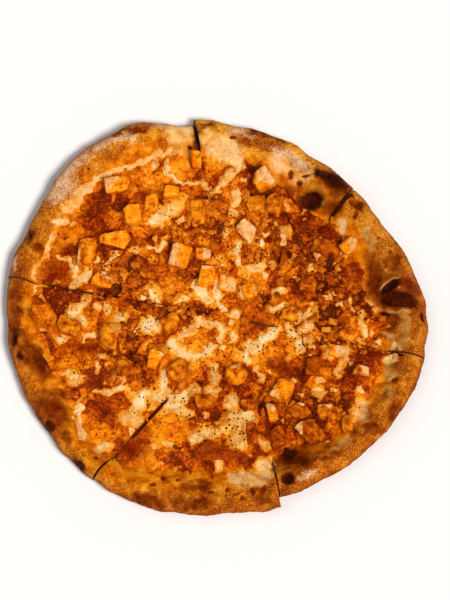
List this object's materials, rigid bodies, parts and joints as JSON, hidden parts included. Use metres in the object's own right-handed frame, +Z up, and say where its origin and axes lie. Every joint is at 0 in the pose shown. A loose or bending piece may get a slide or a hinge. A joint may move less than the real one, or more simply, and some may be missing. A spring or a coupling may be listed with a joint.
{
  "type": "buffalo chicken pizza",
  "caption": "Round thin pizza with a puffed browned rim, orange sauce, melted white cheese and chopped chicken, cut into wedges and still whole",
  "frame": {"origin": "under the middle of the pizza's box, on the surface it rests on", "axes": "+Z up; +X to the right and +Y away in the picture's view from above"},
  "size_m": [0.3216, 0.3121, 0.0232],
  "materials": {
    "baked_dough": "dry baked crust, golden brown with floury and charred places",
    "sauce_and_cheese": "oily orange sauce with melted cream-white cheese and black pepper",
    "chicken_pieces": "moist chopped chicken coated with orange sauce, pale inside"
  },
  "bodies": {
    "root": {"dough_1": "baked_dough", "dough_2": "baked_dough", "dough_3": "baked_dough", "dough_4": "baked_dough", "dough_5": "baked_dough", "dough_6": "baked_dough", "topping_1": "sauce_and_cheese", "topping_2": "sauce_and_cheese", "topping_3": "sauce_and_cheese", "topping_4": "sauce_and_cheese", "topping_5": "sauce_and_cheese", "topping_6": "sauce_and_cheese", "chicken_01": "chicken_pieces", "chicken_02": "chicken_pieces", "chicken_03": "chicken_pieces", "chicken_04": "chicken_pieces", "chicken_05": "chicken_pieces", "chicken_06": "chicken_pieces", "chicken_07": "chicken_pieces", "chicken_08": "chicken_pieces", "chicken_09": "chicken_pieces", "chicken_10": "chicken_pieces", "chicken_11": "chicken_pieces", "chicken_12": "chicken_pieces", "chicken_13": "chicken_pieces", "chicken_14": "chicken_pieces", "chicken_15": "chicken_pieces", "chicken_16": "chicken_pieces", "chicken_17": "chicken_pieces", "chicken_18": "chicken_pieces", "chicken_19": "chicken_pieces", "chicken_20": "chicken_pieces", "chicken_21": "chicken_pieces", "chicken_22": "chicken_pieces", "chicken_23": "chicken_pieces", "chicken_24": "chicken_pieces", "chicken_25": "chicken_pieces", "chicken_26": "chicken_pieces", "chicken_27": "chicken_pieces", "chicken_28": "chicken_pieces", "chicken_29": "chicken_pieces", "chicken_30": "chicken_pieces", "chicken_31": "chicken_pieces", "chicken_32": "chicken_pieces", "chicken_33": "chicken_pieces", "chicken_34": "chicken_pieces", "chicken_35": "chicken_pieces", "chicken_36": "chicken_pieces", "chicken_37": "chicken_pieces", "chicken_38": "chicken_pieces", "chicken_39": "chicken_pieces", "chicken_40": "chicken_pieces", "chicken_41": "chicken_pieces", "chicken_42": "chicken_pieces", "chicken_43": "chicken_pieces", "chicken_44": "chicken_pieces", "chicken_45": "chicken_pieces", "chicken_46": "chicken_pieces", "chicken_47": "chicken_pieces", "chicken_48": "chicken_pieces"}
  },
  "joints": []
}
